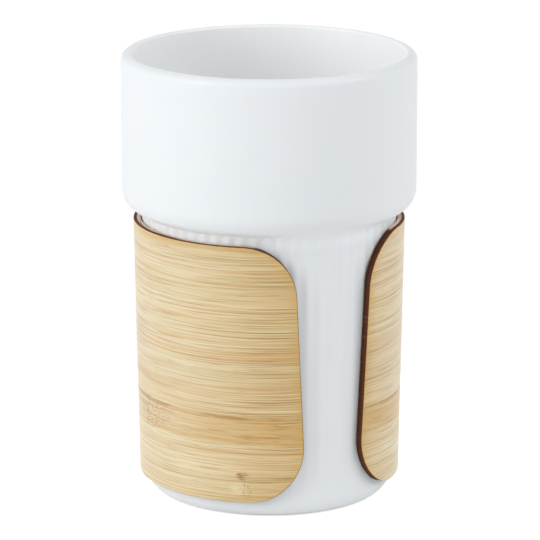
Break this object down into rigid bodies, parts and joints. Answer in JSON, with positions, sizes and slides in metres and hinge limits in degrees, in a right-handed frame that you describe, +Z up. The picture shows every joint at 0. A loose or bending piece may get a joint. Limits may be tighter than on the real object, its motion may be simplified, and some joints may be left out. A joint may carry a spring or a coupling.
{
  "type": "tumbler",
  "caption": "Porcelain tumbler with a wide upper band over a reeded tapered waist, gripped in a slip-off moulded bamboo sleeve that is open on one side.",
  "frame": {"origin": "centre of the foot, on the plane that the cup stands on", "axes": "+Z up along the cup's axis; -Y through the middle of the sleeve's opening; +X to the right when facing that opening"},
  "size_m": [0.084, 0.084, 0.1275],
  "materials": {
    "porcelain": "cool white glaze, semi-gloss, bare bisque on the foot ring",
    "bamboo": "matt light bamboo veneer, grain round the cup, scorched dark brown cut edges"
  },
  "bodies": {
    "cup": {"porcelain_cup": "porcelain"},
    "sleeve": {"bamboo_sleeve": "bamboo"}
  },
  "joints": [
    {"name": "sleeve_slide", "type": "slide", "parent": "cup", "child": "sleeve", "axis": [0, 0, -1], "range_m": [0, 0.082]}
  ]
}
